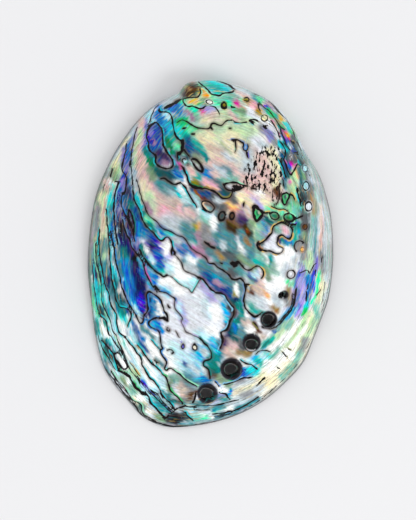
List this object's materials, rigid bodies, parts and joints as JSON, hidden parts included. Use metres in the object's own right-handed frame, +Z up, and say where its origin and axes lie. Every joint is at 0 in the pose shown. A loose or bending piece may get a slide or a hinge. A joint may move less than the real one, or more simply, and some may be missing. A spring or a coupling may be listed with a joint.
{
  "type": "abalone shell",
  "caption": "Polished abalone shell: a low ear-shaped dome with a spire at one end, a curved row of breathing holes with raised collars and an open hollow underneath.",
  "frame": {"origin": "middle of the footprint, on the surface the rim rests on", "axes": "+Y along the shell's length towards the spire, +X towards the side with the breathing holes, +Z up through the dome"},
  "size_m": [0.1054, 0.15, 0.038],
  "materials": {
    "nacre": "polished iridescent nacre, satin inside"
  },
  "bodies": {
    "root": {"abalone_shell": "nacre"}
  },
  "joints": []
}
